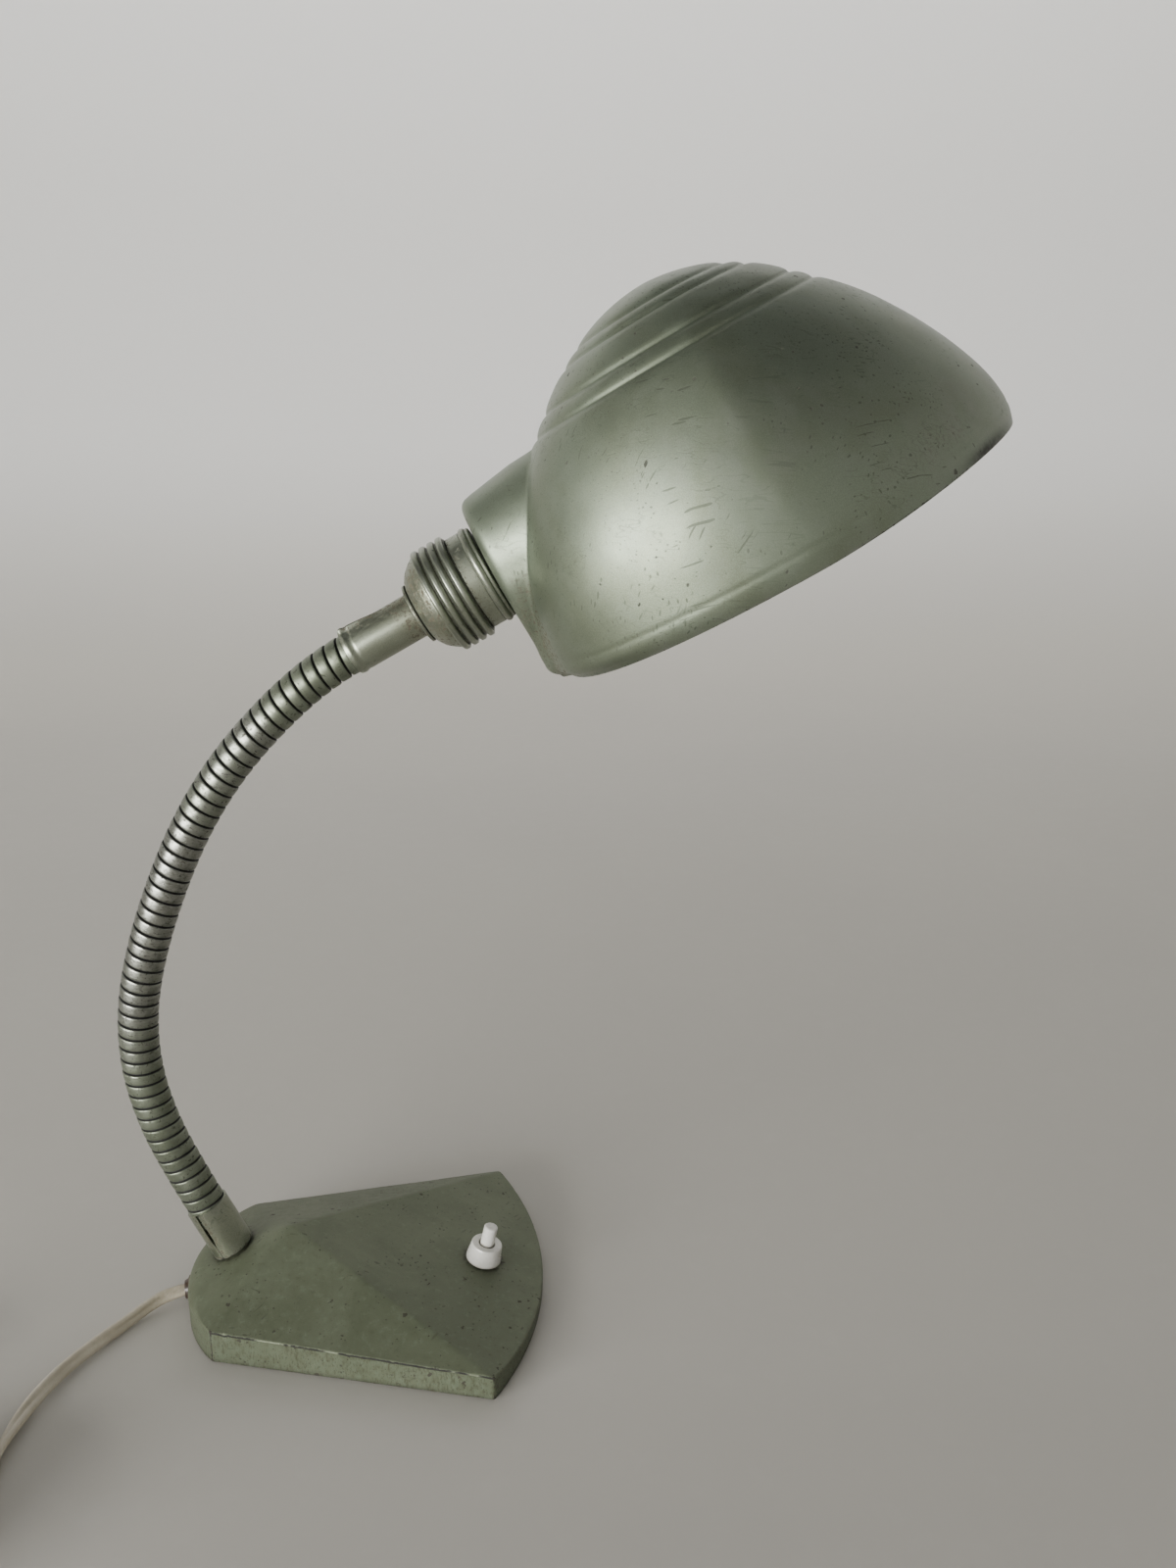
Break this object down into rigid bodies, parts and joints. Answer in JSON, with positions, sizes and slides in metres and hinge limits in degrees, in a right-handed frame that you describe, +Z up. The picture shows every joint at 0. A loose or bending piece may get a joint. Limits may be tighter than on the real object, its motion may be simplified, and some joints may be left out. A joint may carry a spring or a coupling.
{
  "type": "gooseneck desk lamp",
  "caption": "Desk lamp with a faceted cast base, push-button switch, flexible metal neck, ribbed lampholder and an asymmetric pressed metal shade that turns on the holder.",
  "frame": {"origin": "centre of the base's underside", "axes": "+Z up, +X to the front of the base and the shade, Y across"},
  "size_m": [0.4507, 0.2451, 0.4069],
  "materials": {
    "base_paint": "satin sage-green lacquer over cast iron, worn at the edges",
    "shade_paint": "metallic sage-green lacquer on pressed steel, scratched and chipped",
    "neck_metal": "worn metallic green paint on wound steel strip",
    "steel": "zinc-plated steel",
    "brass": "turned brass, dull",
    "felt": "green felt",
    "white_plastic": "glossy white urea plastic",
    "dark_plastic": "dark moulded plastic",
    "porcelain": "glazed porcelain",
    "ring_metal": "turned aluminium ring nut",
    "bulb_glass": "opal glass",
    "bulb_cap": "pressed aluminium screw cap",
    "cord_pvc": "cream flat twin flex",
    "plug_plastic": "cream moulded plastic"
  },
  "bodies": {
    "base": {"base_casting": "base_paint", "base_felt": "felt", "base_leads": "cord_pvc", "base_plate": "steel", "base_plate_screws": "steel", "cord_bush": "cord_pvc", "cord_coil": "cord_pvc", "cord_tail": "cord_pvc", "cord_tube": "cord_pvc", "neck_conduit_01": "neck_metal", "neck_ferrule": "shade_paint", "neck_lead_01": "cord_pvc", "neck_stud": "brass", "neck_stud_nut": "steel", "neck_stud_washer": "steel", "plug_body": "plug_plastic", "plug_pins": "brass", "switch_collar": "white_plastic", "switch_housing": "dark_plastic", "switch_spring": "steel", "switch_terminal_screws": "brass", "switch_terminals": "brass"},
    "link_2": {"neck_conduit_02": "neck_metal", "neck_lead_02": "cord_pvc"},
    "link_3": {"neck_conduit_03": "neck_metal", "neck_lead_03": "cord_pvc"},
    "link_4": {"neck_conduit_04": "neck_metal", "neck_lead_04": "cord_pvc"},
    "link_5": {"neck_conduit_05": "neck_metal", "neck_lead_05": "cord_pvc"},
    "link_6": {"neck_conduit_06": "neck_metal", "neck_lead_06": "cord_pvc"},
    "link_7": {"neck_conduit_07": "neck_metal", "neck_lead_07": "cord_pvc"},
    "link_8": {"neck_conduit_08": "neck_metal", "neck_lead_08": "cord_pvc"},
    "link_9": {"neck_conduit_09": "neck_metal", "neck_lead_09": "cord_pvc"},
    "head": {"neck_conduit_10": "neck_metal", "neck_lead_10": "cord_pvc", "neck_top_sleeve": "shade_paint", "holder_flange": "shade_paint", "holder_nipple": "brass", "holder_lock_nut": "steel", "holder_cap": "shade_paint", "holder_shell": "shade_paint", "holder_core": "porcelain", "holder_screw_shell": "brass", "holder_contacts": "brass", "holder_terminal_screws": "brass", "holder_leads": "cord_pvc", "bulb_cap": "bulb_cap", "bulb_glass": "bulb_glass", "shade_ring": "ring_metal"},
    "shade": {"shade": "shade_paint"},
    "switch_button": {"switch_plunger": "white_plastic"}
  },
  "joints": [
    {"name": "switch_press", "type": "slide", "parent": "base", "child": "switch_button", "axis": [-0.2393, 0, -0.9709], "range_m": [0, 0.0022], "stiffness_N_per_m": 600, "springref_m": -0.002, "deforming": ["switch_spring"]},
    {"name": "neck_bend_1", "type": "hinge", "parent": "base", "child": "link_2", "pos_m": [-0.07586, 0, 0.067], "axis": [0, 1, 0], "range_deg": [-15, 8]},
    {"name": "neck_sway_2", "type": "hinge", "parent": "link_2", "child": "link_3", "pos_m": [-0.08364, 0, 0.09211], "axis": [-0.9778, 0, -0.2096], "range_deg": [-12, 12]},
    {"name": "neck_bend_3", "type": "hinge", "parent": "link_3", "child": "link_4", "pos_m": [-0.086, 0, 0.11825], "axis": [0, 1, 0], "range_deg": [-15, 8]},
    {"name": "neck_sway_4", "type": "hinge", "parent": "link_4", "child": "link_5", "pos_m": [-0.08235, 0, 0.14426], "axis": [-0.9695, 0, 0.245], "range_deg": [-12, 12]},
    {"name": "neck_bend_5", "type": "hinge", "parent": "link_5", "child": "link_6", "pos_m": [-0.07449, 0, 0.16936], "axis": [0, 1, 0], "range_deg": [-15, 8]},
    {"name": "neck_sway_6", "type": "hinge", "parent": "link_6", "child": "link_7", "pos_m": [-0.06422, 0, 0.19359], "axis": [-0.9042, 0, 0.4272], "range_deg": [-12, 12]},
    {"name": "neck_bend_7", "type": "hinge", "parent": "link_7", "child": "link_8", "pos_m": [-0.05137, 0, 0.21653], "axis": [0, 1, 0], "range_deg": [-15, 8]},
    {"name": "neck_sway_8", "type": "hinge", "parent": "link_8", "child": "link_9", "pos_m": [-0.03532, 0, 0.23736], "axis": [-0.7436, 0, 0.6686], "range_deg": [-12, 12]},
    {"name": "neck_bend_9", "type": "hinge", "parent": "link_9", "child": "head", "pos_m": [-0.01659, 0, 0.25581], "axis": [0, 1, 0], "range_deg": [-15, 8]},
    {"name": "shade_swivel", "type": "hinge", "parent": "head", "child": "shade", "pos_m": [0.00486, 0, 0.27098], "axis": [0.8709, 0, 0.4915], "continuous": true}
  ]
}
